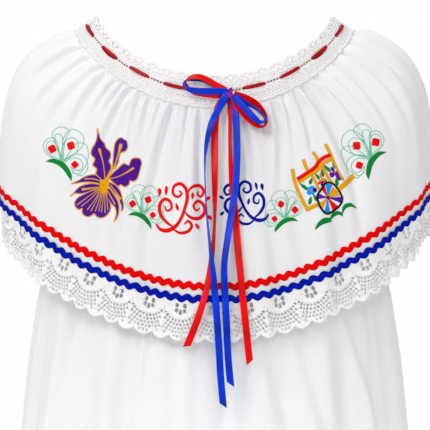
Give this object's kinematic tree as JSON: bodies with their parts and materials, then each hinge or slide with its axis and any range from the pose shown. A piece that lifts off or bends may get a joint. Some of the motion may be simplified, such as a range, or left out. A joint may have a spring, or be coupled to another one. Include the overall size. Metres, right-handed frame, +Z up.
{
  "type": "peasant blouse",
  "caption": "Off-the-shoulder peasant blouse in worn form: embroidered gathered flounce with ric-rac and scalloped lace, ribbon-threaded lace neckband, double bow, flared body",
  "frame": {"origin": "midway between the two shoulder ends of the neckline, where the blouse rests on the upper arms", "axes": "+Z up the wearer, the front faces -Y, +X towards the wearer's left"},
  "size_m": [0.5926, 0.368, 0.6265],
  "materials": {
    "white_cloth": "soft matt white polyester-cotton, lightly slubbed, with stitched embroidery",
    "lace": "white cotton crochet-style lace, matt, thick threads",
    "red_braid": "woven ric-rac braid, slightly glossy thread",
    "blue_braid": "woven ric-rac braid, slightly glossy thread",
    "red_satin": "glossy satin ribbon",
    "blue_satin": "glossy satin ribbon"
  },
  "bodies": {
    "root": {"neckband_lace_front": "lace", "flounce_front": "white_cloth", "body_front": "white_cloth", "ricrac_red_front": "red_braid", "ricrac_blue_front": "blue_braid", "hem_lace_front": "lace", "neckband_lace_back": "lace", "flounce_back": "white_cloth", "body_back": "white_cloth", "ricrac_red_back": "red_braid", "ricrac_blue_back": "blue_braid", "hem_lace_back": "lace", "neck_ribbon": "red_satin", "bow_knot": "blue_satin", "bow_loop_left_blue": "blue_satin", "bow_loop_left_red": "red_satin", "bow_loop_right_red": "red_satin", "bow_loop_right_blue": "blue_satin", "bow_tail_blue_long": "blue_satin", "bow_tail_red_left": "red_satin", "bow_tail_blue_right": "blue_satin", "bow_tail_red_right": "red_satin"}
  },
  "joints": []
}
